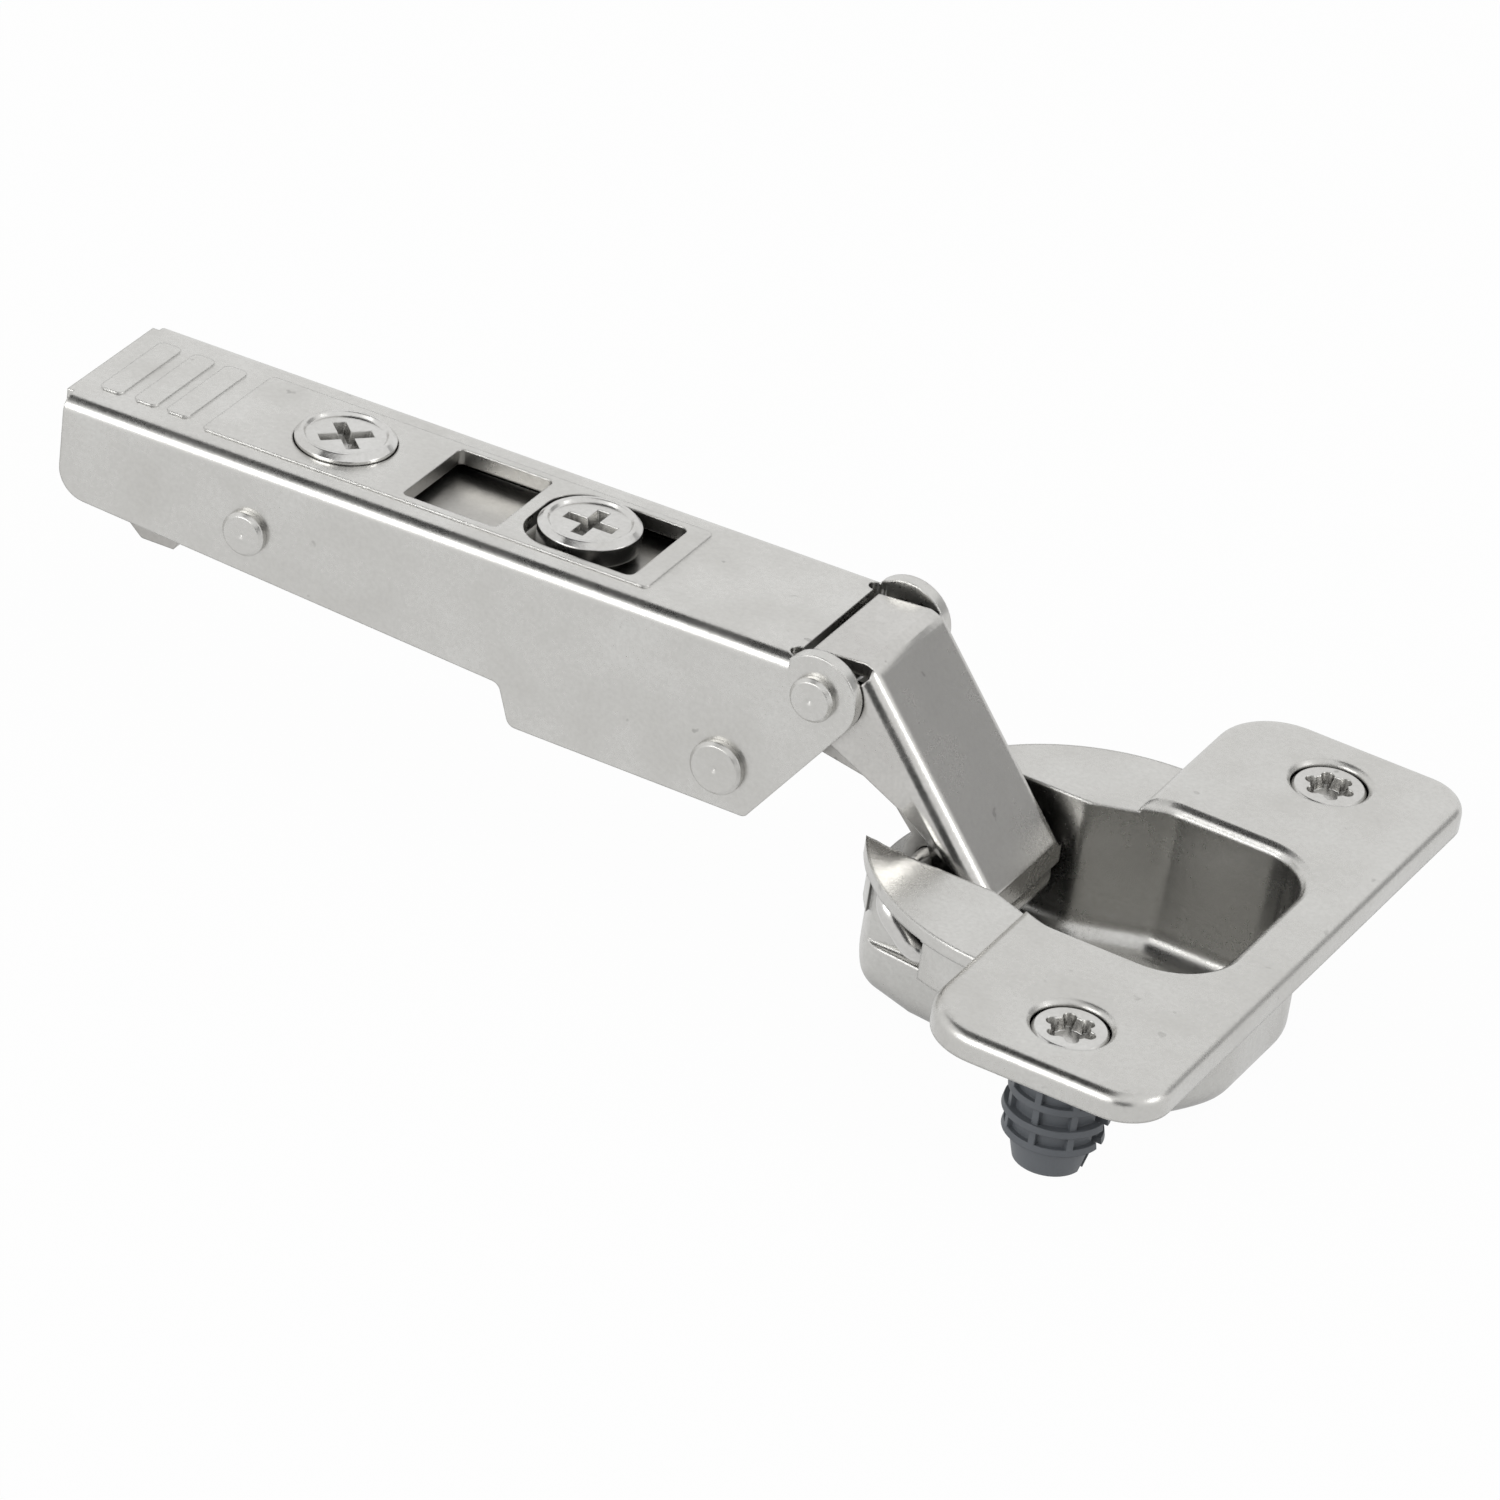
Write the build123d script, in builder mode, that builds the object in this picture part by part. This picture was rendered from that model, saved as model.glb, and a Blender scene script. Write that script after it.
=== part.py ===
from build123d import *
import os
from math import atan2, cos, radians, sin, tan

os.makedirs("parts", exist_ok=True)

# Concealed cup hinge, modelled wide open. Millimetres.
# Row frame: origin on the cup's axis at the plane where the wings seat on the door,
# +Z out of the cup's mouth, +X away from the arm, Y along the hinge axes.

# Cup
boss_r = 17.4            # outside of the drawn boss, for a 35 mm bore
boss_depth = 11.8        # seat plane to the underside of the drawn pocket
boss_band = 3.7          # round collar under the rim
collar_step = 0.4        # the drawn body stays inside the collar by this much
cup_wall = 1.4           # wall of the drawn pocket below the collar
heel_half_w = 9.9        # half width of the drawn body at its rear
heel_corner = 3.0
heel_corner_x = (-16.0, -12.0)   # where the body's sides meet the collar's radius
heel_slope_x = -9.0      # the underside slopes up from here to the rear
heel_rise = 1.6
boss_bottom_fillet = 2.6
rim_r = 17.9
rim_t = 1.2
wing_t = 2.2             # wing top above the seat plane
wing_half_len = 29.3
wing_back_x = -1.0
wing_front_x = 19.6
wing_back_corner = 5.5
wing_front_corner = 4.0
wing_edge_r = 1.0
floor_t = 1.3            # cup bottom thickness
pocket_half_w = 10.8     # wide part of the pocket, between the wings
pocket_front_x = 14.8
pocket_corner = 5.2
throat_half_w = 8.4      # narrow part, where the links come in
throat_back_x = -14.9
throat_corner = 3.2
shoulder_x = (-4.5, 1.5)   # where the throat widens to the pocket
shoulder_r = 3.0
pocket_lip = ((0.0, 0.75), (0.3, 0.3), (0.6, 0.08), (0.9, -0.3))   # eased mouth: depth, spread
pocket_draft = 3.0
pocket_floor_r = 1.8
mouth_half_w = 8.2       # gap in the rim where the inner link passes
mouth_floor_z = -3.9
mouth_floor_r = 1.2
mouth_overlap = 3.6
mouth_flare = 1.6        # the mouth's sides spread towards the rim's edge
lip_rise = 1.3           # upturned rim tips on both sides of the mouth
lip_len = 5.0
lip_w = 3.4
lip_flat = 0.9
lip_edge_r = 0.35

# Fixing pattern of the wings
screw_line_x = 9.5
dowel_spacing = 45.0
dowel_r = 4.25
dowel_core_r = 3.45
dowel_len = 9.9
dowel_tip_r = 2.8
dowel_tip_len = 2.6
dowel_ribs = 4
dowel_webs = 8
dowel_web_t = 0.55
dowel_rib_t = 0.55
fix_head_r = 3.05
fix_shank_r = 1.7
fix_len = 9.5
fix_sink = 0.35          # head below the wing's top
fix_recess_r = 2.1
fix_recess_depth = 1.1
seat_gap = 0.03          # between pieces pressed together
fix_hole_gap = 0.12
fix_neck_z = -0.6        # where the head's cone meets the shank
fix_head_z = 1.0         # where the cone ends
fix_bevel = 0.25
fix_dish = 0.35
fix_point = 0.5
fix_lobe_r = 0.55
dowel_rib_step = 0.25
dowel_rib_slope = 12
dowel_web_r = 3.9
dowel_slit = 0.8
dowel_slit_len = 6.2

# Four-bar axes in the row frame: x, z
axle_c = (-8.2, -4.8)    # outer link in the cup
axle_d = (-12.0, -1.1)   # inner link in the cup
wire_r = 1.1
wire_bend_r = 1.7
wire_bridge_y = -11.8
wire_far_y = 10.6
wire_pocket = (7.6, 6.5)
wire_pocket_y = -10.0
wire_pocket_z = -3.15
wire_pocket_r = 1.0
run_gap = 0.07           # radial running clearance on the axles
hole_gap = 0.02

# Arm frame: origin on the front rivet, local x towards the cup, local z up
arm_tilt = 2.4
pin_a = (-22.2, 11.3)    # front rivet in the row frame
pin_b_local = (-7.5, -8.9)
pin_r_local = (-51.1, -3.45)
arm_w = 16.0
sheet = 1.2
arm_top_z = 2.6
arm_fold_r = 1.3
arm_back_x = -69.2
arm_wall_back_x = -68.6
tongue_half_w = 6.5
arm_nose_rise = 0.4
arm_top_front_x = -2.45
arm_ear_r = 3.6
arm_rear_z = -5.9
arm_mid_z = -8.75
arm_nose_z = -12.6
arm_step_x = -27.4
arm_step_run = 1.2
arm_nose_x = -4.8
arm_rear_corner = 2.6
arm_step_corner = 0.9
arm_nose_corner = 0.7
relief_r = 0.7

# Openings and embossing of the arm's top
window_x = (-39.3, -30.7)
window_half_w = 4.7
window_corner = 0.5
slot_x = (-29.5, -18.4)
slot_half_w = 4.75
slot_back_corner = 3.2
slot_front_corner = 0.7
depth_screw_x = -47.2
depth_hole_gap = 0.1
bar_xs = (-66.3, -63.1, -60.1)
bar_len = 9.6
bar_wide = 2.1
bar_rise = 0.14
bar_corner = 0.6
panel_x = (-57.3, -16.6)
panel_half_w = 5.5
panel_corner = 1.4

# Rivets
rivet_r = 1.25
rivet_a_head_r = 1.9
rivet_b_head_r = 2.3
rivet_r_head_r = 1.9
rivet_head_t = 0.8
rivet_bevel = 0.3
rivet_dimple_r = 0.35
rivet_dimple_depth = 0.12

# Outer link, in the arm frame at rest
link_side_gap = 0.2      # between the link's flanges and the arm's walls
link_stub_back_x = -1.75
link_stub_r = 0.5
link_bend = (3.6, 2.95)
link_low = (16.0, -13.4)
link_ear_r = 3.3
link_foot_r = 2.5
link_jog = 1.0           # how far the lower flanges step inward
link_hook = (15.9, -15.9)   # curl at the foot of the broad face
link_crease_r = 0.6
link_jog_start = (8.0, -8.1)   # lower end of the wide flanges
link_jog_share = 0.1           # where the joggle meets the fold, from its foot
link_neck = (11.4, -13.6)
link_relief_z = 1.2
link_relief_run = 0.8
link_heel = (-2.2, 0.5)       # the flanges stay under the arm's top as the link turns
link_stub_half_w = 5.4

# Inner link
inner_half_w = 4.25
inner_eye_r = 2.3
inner_web_t = 1.4
slot_travel_x = 1.75     # play of the open pivot along the link
slot_travel_z = (-0.35, 0.95)
slot_wall = 1.3
inner_cheek_t = 1.6
inner_web_rise = 1.6
inner_hump = ((-2.4, -5.7), (5.6, -7.4))
inner_web_bend = 1.6
inner_cheek_x = -0.8
inner_cheek_cut = 9.6

# Inner plate, clip lever, springs and adjusting screws, in the arm frame
plate_side_gap = 0.35    # between the inner plate and the arm's walls
plate_t = 1.0
plate_drop = 0.9         # gap between the arm's top and the plate
plate_x = (-57.5, -14.6)
plate_wall_x = (-43.0, -15.4)
plate_wall_z = -7.6
plate_tail_inset = 2.05
plate_cut_h = 20         # any height that clears the plate's inside
plate_wall_corner = 1.5
plate_fold_r = 0.8
lever_side_gap = 0.3
lever_cut_h = 40         # any height that clears the lever
lever_t = 1.2
lever_x = (-66.2, -48.4)
lever_eye_r = 2.9
lever_top_z = -0.6
lever_low_z = -5.9
lever_tab_x = (-61.4, -58.4)
lever_tab_r = 0.5
lever_web_x = (-64.0, -60.6)
lever_web_z = -3.4
spring_leg_x = -5.2
spring_leg_z = -4.0
spring_half_w = 2.2
leaf_bend = 0.9
bow_len = 3.5            # upper leg of the lever's bow spring
bow_gap = 0.25
lever_tab_z = -8.35
leaf_t = 0.6
leaf_half_w = 3.6
depth_head_r = 4.14
depth_head_t = 1.6
depth_shank_r = 2.1
depth_shank_len = 5.2
side_head_r = 4.2
side_head_t = 2.0
side_screw_x = -24.8
side_shank_r = 2.6
side_shank_len = 8.6
side_boss_r = 4.0
side_boss_t = 2.2
screw_proud = 0.9
cross_len = 4.6
ring_sink = 0.3          # face inside the screw head's raised rim
depth_ring = 0.7
side_ring = 0.75
cross_w = 1.25
cross_depth = 1.4
cross_taper = 12
head_bevel = 0.45
block_x = (-53.0, -42.6)
block_inset = 0.1        # narrower than the plate's tail on each side
block_t = 1.2
block_corner = 1.0
block_gap = 0.25
depth_travel = (-0.4, 1.8)


def row_point(x, z):
    # A point of the arm frame in the row frame, as x and z.
    t = radians(arm_tilt)
    return (pin_a[0] + x * cos(t) - z * sin(t), pin_a[1] + x * sin(t) + z * cos(t))


def arm_point(x, z):
    # A point of the row frame in the arm frame, as x and z.
    t = radians(arm_tilt)
    dx = x - pin_a[0]
    dz = z - pin_a[1]
    return (dx * cos(t) + dz * sin(t), -dx * sin(t) + dz * cos(t))


arm_dir = (cos(radians(arm_tilt)), 0, sin(radians(arm_tilt)))
arm_up = (-sin(radians(arm_tilt)), 0, cos(radians(arm_tilt)))
arm_back = (-arm_dir[0], 0, -arm_dir[2])
arm_origin = (pin_a[0], 0, pin_a[1])
cup_side = Plane(origin=(0, 0, 0), x_dir=(1, 0, 0), z_dir=(0, -1, 0))
arm_side = Plane(origin=arm_origin, x_dir=arm_dir, z_dir=(0, -1, 0))
arm_flat = Plane(origin=arm_origin, x_dir=arm_dir, z_dir=arm_up)


def finish(piece, name):
    piece.part.label = name
    export_step(piece.part, f"parts/{name}.step")


c_local = arm_point(*axle_c)
d_local = arm_point(*axle_d)
link_half_w = arm_w / 2 - sheet - link_side_gap
plate_half_w = arm_w / 2 - sheet - plate_side_gap
plate_tail_half_w = plate_half_w - plate_tail_inset
block_half_w = plate_tail_half_w - block_inset
lever_half_w = arm_w / 2 - sheet - lever_side_gap

# Cup: boss and rim disc, wings, then the drawn pocket and the mouth for the links
with BuildPart() as wings:
    with BuildSketch(Plane.XY) as wing_outline:
        with BuildLine():
            Polyline(
                (wing_back_x, -wing_half_len),
                (wing_front_x, -wing_half_len),
                (wing_front_x, wing_half_len),
                (wing_back_x, wing_half_len),
                close=True,
            )
        make_face()
        fillet(wing_outline.vertices().group_by(Axis.X)[0], wing_back_corner)
        fillet(wing_outline.vertices().group_by(Axis.X)[-1], wing_front_corner)
    extrude(amount=wing_t)
    fillet(wings.edges().group_by(Axis.Z)[-1], wing_edge_r)

pocket_depth = wing_t + boss_depth - floor_t
screw_spots = [(screw_line_x, -dowel_spacing / 2), (screw_line_x, dowel_spacing / 2)]
with BuildPart() as pocket:
    with BuildSketch(Plane.XY.offset(wing_t)) as pocket_outline:
        with BuildLine():
            Polyline(
                (throat_back_x, -throat_half_w),
                (shoulder_x[0], -throat_half_w),
                (shoulder_x[1], -pocket_half_w),
                (pocket_front_x, -pocket_half_w),
                (pocket_front_x, pocket_half_w),
                (shoulder_x[1], pocket_half_w),
                (shoulder_x[0], throat_half_w),
                (throat_back_x, throat_half_w),
                close=True,
            )
        make_face()
        fillet(pocket_outline.vertices().group_by(Axis.X)[-1], pocket_corner)
        fillet(pocket_outline.vertices().group_by(Axis.X)[0], throat_corner)
        fillet(pocket_outline.vertices().filter_by_position(Axis.X, *shoulder_x), shoulder_r)
    with BuildSketch(Plane.XY.offset(wing_t - pocket_depth)):
        add(pocket_outline.sketch_local)
        offset(amount=-pocket_depth * tan(radians(pocket_draft)), mode=Mode.REPLACE)
    loft(ruled=True)
    fillet(pocket.edges().group_by(Axis.Z)[0], pocket_floor_r)

# Eased edge round the pocket's mouth, as wide as the wings are thick above the rim
with BuildPart() as pocket_mouth:
    for depth, spread in pocket_lip:
        with BuildSketch(Plane.XY.offset(wing_t - depth)):
            add(pocket_outline.sketch_local)
            offset(amount=spread, mode=Mode.REPLACE)
    loft(ruled=True)

# Outside of the drawn pocket below the collar, its underside sloping up at the rear
with BuildPart() as drawn_body:
    with BuildSketch(Plane.XY.offset(-boss_depth)) as body_outline:
        with BuildLine():
            Polyline(
                (-boss_r, -heel_half_w),
                (shoulder_x[1], -pocket_half_w - cup_wall),
                (pocket_front_x + cup_wall, -pocket_half_w - cup_wall),
                (pocket_front_x + cup_wall, pocket_half_w + cup_wall),
                (shoulder_x[1], pocket_half_w + cup_wall),
                (-boss_r, heel_half_w),
                close=True,
            )
        make_face()
        Circle(boss_r - collar_step, mode=Mode.INTERSECT)
        fillet(body_outline.vertices().group_by(Axis.X)[-1], pocket_corner + cup_wall)
        fillet(body_outline.vertices().filter_by_position(Axis.X, *heel_corner_x), heel_corner)
    extrude(amount=boss_depth)
    with BuildSketch(cup_side):
        with BuildLine():
            Polyline(
                (-boss_r - 1, -boss_depth - 1),
                (heel_slope_x, -boss_depth - 1),
                (heel_slope_x, -boss_depth),
                (-boss_r, -boss_depth + heel_rise),
                (-boss_r - 1, -boss_depth + heel_rise),
                close=True,
            )
        make_face()
    extrude(amount=rim_r, both=True, mode=Mode.SUBTRACT)
    under = drawn_body.faces().filter_by(lambda f: f.normal_at().Z < -0.5).edges()
    fillet([e for e in under if abs(e.center().X - heel_slope_x) > seat_gap], boss_bottom_fillet)

with BuildPart() as mouth:
    with BuildSketch(cup_side) as mouth_profile:
        with BuildLine():
            Polyline(
                (-rim_r - 1, mouth_floor_z),
                (throat_back_x + mouth_overlap, mouth_floor_z),
                (throat_back_x + mouth_overlap, wing_t + 1),
                (-rim_r - 1, wing_t + 1),
                close=True,
            )
        make_face()
    extrude(amount=mouth_half_w, both=True)
    fillet(mouth.edges().filter_by(Axis.X).group_by(Axis.Z)[0], mouth_floor_r)
    with BuildSketch(Plane.XY.offset(-boss_band)):
        with BuildLine():
            Polyline(
                (-rim_r - 1, -mouth_half_w - mouth_flare),
                (throat_back_x, -mouth_half_w),
                (throat_back_x, mouth_half_w),
                (-rim_r - 1, mouth_half_w + mouth_flare),
                close=True,
            )
        make_face()
    extrude(amount=wing_t + 1 + boss_band)

with BuildPart() as lip_tips:
    with BuildSketch(cup_side):
        with BuildLine():
            rise = Spline(
                (-rim_r + lip_len, rim_t),
                (-rim_r + lip_len / 2, rim_t + lip_rise / 4),
                (-rim_r + lip_flat, rim_t + lip_rise),
                tangents=((-1, 0), (-1, 1)),
            )
            Polyline(
                rise @ 1,
                (-rim_r - lip_flat, rim_t + lip_rise),
                (-rim_r - lip_flat, rim_t / 4),
                (-rim_r + lip_len, rim_t / 4),
                rise @ 0,
            )
        make_face()
    extrude(amount=mouth_half_w + lip_w, both=True)
    with BuildSketch(Plane.XY):
        Circle(rim_r)
    extrude(amount=wing_t + lip_rise, mode=Mode.INTERSECT)
    fillet(lip_tips.edges().group_by(Axis.Z)[-1], lip_edge_r)


def screw_hole(spot, shank_gap):
    # Waste for a countersunk fixing screw, with a dished edge at the wing's top.
    wall = fix_head_r + fix_hole_gap
    with BuildPart() as waste:
        with BuildSketch(Plane(origin=(spot[0], spot[1], 0), x_dir=(1, 0, 0), z_dir=(0, -1, 0))):
            with BuildLine():
                Polyline(
                    (0, -dowel_len),
                    (fix_shank_r + shank_gap, -dowel_len),
                    (fix_shank_r + shank_gap, fix_neck_z),
                    (wall, fix_head_z),
                    (wall, wing_t - fix_dish),
                    (wall + fix_dish, wing_t),
                    (0, wing_t),
                    close=True,
                )
            make_face()
        revolve(axis=Axis((spot[0], spot[1], 0), (0, 0, 1)))
    return waste.part


with BuildPart() as cup:
    with BuildSketch(Plane.XZ):
        with BuildLine():
            Polyline(
                (0, rim_t),
                (rim_r, rim_t),
                (rim_r, 0),
                (boss_r, 0),
                (boss_r, -boss_band),
                (0, -boss_band),
                close=True,
            )
        make_face()
    revolve(axis=Axis.Z)
    add(drawn_body.part)
    add(wings.part)
    add(lip_tips.part)
    add(pocket.part, mode=Mode.SUBTRACT)
    add(pocket_mouth.part, mode=Mode.SUBTRACT)
    add(mouth.part, mode=Mode.SUBTRACT)
    # Holes and side recess for the bent axle wire
    for axle_x, axle_z in (axle_c, axle_d):
        with BuildSketch(Plane(origin=(axle_x, wire_far_y + seat_gap, axle_z), z_dir=(0, -1, 0))):
            Circle(wire_r + hole_gap)
        extrude(amount=wire_far_y - wire_pocket_y + 1, mode=Mode.SUBTRACT)
    with BuildSketch(cup_side.offset(-wire_pocket_y)) as recess:
        with Locations(((axle_c[0] + axle_d[0]) / 2, wire_pocket_z)):
            Rectangle(*wire_pocket)
        fillet(recess.vertices().group_by(Axis.Y)[0], wire_pocket_r)
    extrude(amount=rim_r, mode=Mode.SUBTRACT)
    for spot in screw_spots:
        add(screw_hole(spot, fix_hole_gap), mode=Mode.SUBTRACT)
finish(cup, "cup")

# Bent axle wire: one U whose legs are both axles in the cup
wire_run = ((axle_c[0] - axle_d[0]) ** 2 + (axle_c[1] - axle_d[1]) ** 2) ** 0.5
wire_x = ((axle_c[0] - axle_d[0]) / wire_run, 0, (axle_c[1] - axle_d[1]) / wire_run)
wire_plane = Plane(
    origin=(axle_d[0], 0, axle_d[1]), x_dir=wire_x, z_dir=(-wire_x[2], 0, wire_x[0])
)
with BuildPart() as axle_wire:
    with BuildLine(wire_plane) as wire_path:
        FilletPolyline(
            (0, wire_far_y), (0, wire_bridge_y), (wire_run, wire_bridge_y), (wire_run, wire_far_y),
            radius=wire_bend_r,
        )
    with BuildSketch(Plane(origin=wire_path.line @ 0, z_dir=wire_path.line % 0)):
        Circle(wire_r)
    sweep()
finish(axle_wire, "axle_wire")


def make_dowel(spot):
    # Ribbed expanding dowel: a bored core with rings and upright webs, tapered at its tip.
    with BuildPart() as dowel:
        with BuildSketch(Plane(origin=(spot[0], spot[1], 0), x_dir=(1, 0, 0), z_dir=(0, -1, 0))):
            with BuildLine():
                Polyline(
                    (0, 0),
                    (dowel_core_r, 0),
                    (dowel_core_r, -dowel_len + dowel_tip_len),
                    (dowel_tip_r, -dowel_len),
                    (0, -dowel_len),
                    close=True,
                )
            make_face()
        revolve(axis=Axis((spot[0], spot[1], 0), (0, 0, 1)))
        pitch = (dowel_len - dowel_tip_len) / dowel_ribs
        for k in range(dowel_ribs):
            with BuildSketch(Plane(origin=(spot[0], spot[1], -(k + 1) * pitch))):
                Circle(dowel_r - dowel_rib_step * abs(dowel_ribs - 2 - k))
            extrude(amount=dowel_rib_t, taper=dowel_rib_slope)
        with BuildSketch(Plane(origin=(spot[0], spot[1], -dowel_len + dowel_tip_len))):
            with PolarLocations(0, dowel_webs):
                with Locations((dowel_web_r / 2, 0)):
                    Rectangle(dowel_web_r, dowel_web_t)
        extrude(amount=dowel_len - dowel_tip_len)
        add(screw_hole(spot, seat_gap), mode=Mode.SUBTRACT)
        with BuildSketch(Plane(origin=(spot[0], spot[1], -dowel_len))):
            Rectangle(2 * dowel_r, dowel_slit)
        extrude(amount=dowel_slit_len, mode=Mode.SUBTRACT)
    return dowel


def make_fixing_screw(spot):
    # Flat-head screw with a six-lobe recess, its head let into the wing.
    with BuildPart() as screw:
        with BuildSketch(Plane(origin=(spot[0], spot[1], 0), x_dir=(1, 0, 0), z_dir=(0, -1, 0))):
            with BuildLine():
                Polyline(
                    (0, -fix_len),
                    (fix_shank_r - fix_point, -fix_len),
                    (fix_shank_r, -fix_len + 2 * fix_point),
                    (fix_shank_r, fix_neck_z),
                    (fix_head_r, fix_head_z),
                    (fix_head_r, wing_t - fix_sink - fix_bevel),
                    (fix_head_r - fix_bevel, wing_t - fix_sink),
                    (0, wing_t - fix_sink),
                    close=True,
                )
            make_face()
        revolve(axis=Axis((spot[0], spot[1], 0), (0, 0, 1)))
        with BuildSketch(Plane(origin=(spot[0], spot[1], wing_t - fix_sink))):
            Circle(fix_recess_r - fix_lobe_r)
            with PolarLocations(fix_recess_r - fix_lobe_r, 6):
                Circle(fix_lobe_r)
        extrude(amount=-fix_recess_depth, taper=cross_taper, mode=Mode.SUBTRACT)
    return screw


for side_name, spot in zip(("near", "far"), screw_spots):
    finish(make_dowel(spot), f"dowel_{side_name}")
    finish(make_fixing_screw(spot), f"fixing_screw_{side_name}")


def tangent_from(point, center, radius, side):
    # Where the line from a point touches a circle; side is +1 or -1.
    dx = center[0] - point[0]
    dz = center[1] - point[1]
    span = (dx * dx + dz * dz) ** 0.5
    reach = (span * span - radius * radius) ** 0.5
    turn = side * atan2(radius, reach)
    ux = (dx * cos(turn) - dz * sin(turn)) / span
    uz = (dx * sin(turn) + dz * cos(turn)) / span
    return (point[0] + ux * reach, point[1] + uz * reach)


# Arm: a folded channel, its side walls running on as ears round the front rivet
wall_y = arm_w / 2 - sheet
under_top_z = arm_top_z - sheet
with BuildPart() as hinge_arm:
    with BuildSketch(arm_side) as arm_outline:
        nose = (arm_nose_x, arm_nose_z)
        with BuildLine():
            Polyline(
                (arm_wall_back_x, arm_top_z),
                (arm_top_front_x, arm_top_z),
                (0, 0),
                tangent_from(nose, (0, 0), arm_ear_r, -1),
                nose,
                (arm_step_x + arm_step_run, arm_nose_z + arm_nose_rise),
                (arm_step_x, arm_mid_z),
                (arm_wall_back_x, arm_rear_z),
                close=True,
            )
        make_face()
        fillet(
            arm_outline.vertices().sort_by_distance((arm_wall_back_x, arm_rear_z))[0],
            arm_rear_corner,
        )
        fillet(
            arm_outline.vertices().sort_by_distance((arm_step_x + arm_step_run, arm_nose_z))[0],
            arm_step_corner,
        )
        fillet(
            arm_outline.vertices().sort_by_distance((arm_step_x, arm_mid_z))[0], arm_step_corner
        )
        fillet(arm_outline.vertices().sort_by_distance(nose)[0], arm_nose_corner)
        Circle(arm_ear_r)
    extrude(amount=arm_w / 2, both=True)
    # Rounded folds along both top edges, ending where the ears begin
    fold_end = Plane(
        origin=arm_flat.from_local_coords((arm_top_front_x, 0, 0)), x_dir=(0, -1, 0), z_dir=arm_back
    )
    with BuildSketch(fold_end) as fold_waste:
        for way in (-1, 1):
            with Locations((way * (arm_w / 2 - arm_fold_r / 2), arm_top_z - arm_fold_r / 2)):
                Rectangle(arm_fold_r, arm_fold_r)
            with Locations((way * (arm_w / 2 - arm_fold_r), arm_top_z - arm_fold_r)):
                Circle(arm_fold_r, mode=Mode.SUBTRACT)
    extrude(amount=arm_top_front_x - arm_back_x + 1, mode=Mode.SUBTRACT)
    # Inside of the channel, then the space over the link between the ears
    with BuildSketch(arm_side):
        with BuildLine():
            Polyline(
                (arm_back_x - 1, arm_nose_z - 1),
                (arm_back_x - 1, under_top_z),
                (arm_top_front_x, under_top_z),
                (arm_top_front_x, arm_top_z + arm_ear_r),
                (arm_ear_r + 1, arm_top_z + arm_ear_r),
                (arm_ear_r + 1, arm_nose_z - 1),
                close=True,
            )
        make_face()
    extrude(amount=wall_y, both=True, mode=Mode.SUBTRACT)
    # Tongue of the top plate behind the walls
    with BuildSketch(arm_flat.offset(under_top_z)):
        with Locations(((arm_back_x + arm_wall_back_x + 1) / 2, 0)):
            Rectangle(arm_wall_back_x + 1 - arm_back_x, 2 * tongue_half_w)
    extrude(amount=sheet)
    # Raised bars and panel
    with BuildSketch(arm_flat.offset(arm_top_z)) as raised:
        for bar_x in bar_xs:
            with Locations((bar_x, 0)):
                Rectangle(bar_wide, bar_len)
        with Locations(((panel_x[0] + panel_x[1]) / 2, 0)):
            Rectangle(panel_x[1] - panel_x[0], 2 * panel_half_w)
        fillet(raised.vertices(), bar_corner)
    extrude(amount=bar_rise)
    # Window, screw slot, depth screw hole and the reliefs at the fold's ends
    with BuildSketch(arm_flat.offset(arm_top_z)) as openings:
        with Locations(((window_x[0] + window_x[1]) / 2, 0)):
            Rectangle(window_x[1] - window_x[0], 2 * window_half_w)
        fillet(openings.vertices(), window_corner)
        with Locations((depth_screw_x, 0)):
            Circle(depth_head_r + depth_hole_gap)
        for way in (-1, 1):
            with Locations((arm_top_front_x, way * (wall_y - relief_r / 2))):
                Circle(relief_r)
    extrude(amount=2 * sheet, both=True, mode=Mode.SUBTRACT)
    with BuildSketch(arm_flat.offset(arm_top_z)) as slot_cut:
        with Locations(((slot_x[0] + slot_x[1]) / 2, 0)):
            Rectangle(slot_x[1] - slot_x[0], 2 * slot_half_w)
        fillet(slot_cut.vertices().group_by(Axis.X)[0], slot_back_corner)
        fillet(slot_cut.vertices().group_by(Axis.X)[-1], slot_front_corner)
    extrude(amount=2 * sheet, both=True, mode=Mode.SUBTRACT)
    with BuildSketch(arm_side) as rivet_holes:
        for spot in ((0, 0), pin_b_local, pin_r_local):
            with Locations(spot):
                Circle(rivet_r + seat_gap)
    extrude(amount=arm_w, both=True, mode=Mode.SUBTRACT)
finish(hinge_arm, "hinge_arm")


def make_rivet(spot, head_r):
    # Flat bevelled heads on both outer faces of the arm, a dimple in each.
    x, z = row_point(*spot)
    half = arm_w / 2
    with BuildPart() as rivet:
        with BuildSketch(Plane(origin=(x, 0, z), x_dir=arm_dir, z_dir=(-arm_up[0], 0, -arm_up[2]))):
            with BuildLine():
                Polyline(
                    (0, 0),
                    (rivet_r, 0),
                    (rivet_r, half),
                    (head_r, half),
                    (head_r, half + rivet_head_t - rivet_bevel),
                    (head_r - rivet_bevel, half + rivet_head_t),
                    (rivet_dimple_r, half + rivet_head_t),
                    (0, half + rivet_head_t - rivet_dimple_depth),
                    close=True,
                )
            make_face()
        revolve(axis=Axis((x, 0, z), (0, 1, 0)))
        mirror(about=Plane.XZ)
    return rivet


for rivet_name, spot, head_r in (
    ("front_rivet", (0, 0), rivet_a_head_r),
    ("lower_rivet", pin_b_local, rivet_b_head_r),
    ("rear_rivet", pin_r_local, rivet_r_head_r),
):
    finish(make_rivet(spot, head_r), rivet_name)


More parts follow.
